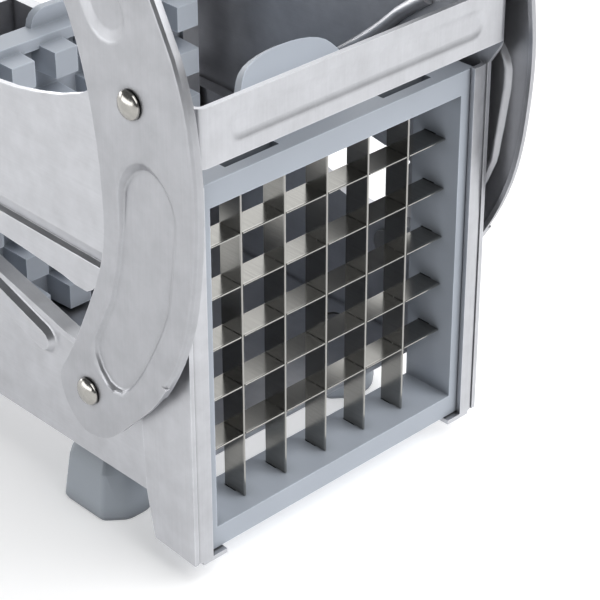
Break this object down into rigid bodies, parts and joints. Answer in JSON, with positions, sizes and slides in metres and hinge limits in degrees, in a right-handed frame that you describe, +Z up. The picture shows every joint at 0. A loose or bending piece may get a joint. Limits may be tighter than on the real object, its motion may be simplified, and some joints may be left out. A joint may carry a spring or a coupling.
{
  "type": "french fry cutter",
  "caption": "Lever potato cutter: steel tray and frame, slotted blade grid in a moulded frame, pegged pusher drawn by link plates, curved twin-arm handle.",
  "frame": {"origin": "middle of the footprint, on the surface that the feet stand on", "axes": "+Z up, -Y towards the blades and the sticks that come out, +X to the right seen from the blades"},
  "size_m": [0.1186, 0.1892, 0.2237],
  "materials": {
    "sheet_steel": "fine satin",
    "blade_steel": "bright rolled",
    "bright_steel": "polished",
    "moulded_plastic": "satin",
    "foot_plastic": "matt",
    "grip_plastic": "matt"
  },
  "bodies": {
    "frame": {"body_tray": "sheet_steel", "front_frame": "sheet_steel", "front_left_foot": "foot_plastic", "front_left_foot_screw": "bright_steel", "front_right_foot": "foot_plastic", "front_right_foot_screw": "bright_steel", "left_frame_rivet": "bright_steel", "left_lever_rivet": "bright_steel", "rear_left_foot": "foot_plastic", "rear_left_foot_screw": "bright_steel", "rear_right_foot": "foot_plastic", "rear_right_foot_screw": "bright_steel", "right_frame_rivet": "bright_steel", "right_lever_rivet": "bright_steel"},
    "cartridge": {"blade_frame": "moulded_plastic", "level_blade_1": "blade_steel", "level_blade_2": "blade_steel", "level_blade_3": "blade_steel", "level_blade_4": "blade_steel", "level_blade_5": "blade_steel", "upright_blade_1": "blade_steel", "upright_blade_2": "blade_steel", "upright_blade_3": "blade_steel", "upright_blade_4": "blade_steel", "upright_blade_5": "blade_steel"},
    "pusher_plate": {"pusher_plate": "moulded_plastic"},
    "carriage": {"carriage": "sheet_steel", "left_runner": "moulded_plastic", "link_axle": "bright_steel", "right_runner": "moulded_plastic"},
    "lever": {"handle_grip": "grip_plastic", "handle_rod": "bright_steel", "left_cap_nut": "bright_steel", "left_lever_arm": "sheet_steel", "left_link_front_rivet": "bright_steel", "right_cap_nut": "bright_steel", "right_lever_arm": "sheet_steel", "right_link_front_rivet": "bright_steel"},
    "links": {"left_link_plate": "sheet_steel", "left_link_rear_rivet": "bright_steel", "right_link_plate": "sheet_steel", "right_link_rear_rivet": "bright_steel"}
  },
  "joints": [
    {"name": "lever_hinge", "type": "hinge", "parent": "frame", "child": "lever", "pos_m": [0, -0.05665, 0.0429], "axis": [-1, 0, 0], "range_deg": [-83.5, 0]},
    {"name": "carriage_slide", "type": "slide", "parent": "frame", "child": "carriage", "axis": [0, 1, 0], "range_m": [-0.0784, 0]},
    {"name": "link_hinge", "type": "hinge", "parent": "lever", "child": "links", "pos_m": [0, -0.0755, 0.12023], "axis": [-1, 0, 0], "range_deg": [0, 41.3]},
    {"name": "cartridge_lift", "type": "slide", "parent": "frame", "child": "cartridge", "axis": [0, 0, 1], "range_m": [0, 0.12]},
    {"name": "pusher_plate_lift", "type": "slide", "parent": "carriage", "child": "pusher_plate", "axis": [0, 0, 1], "range_m": [0, 0.12]}
  ],
  "couplings": [
    {"joint": "carriage_slide", "follows": "lever_hinge", "m_per_rad": 0.053696},
    {"joint": "link_hinge", "follows": "lever_hinge", "ratio": -0.49309}
  ]
}
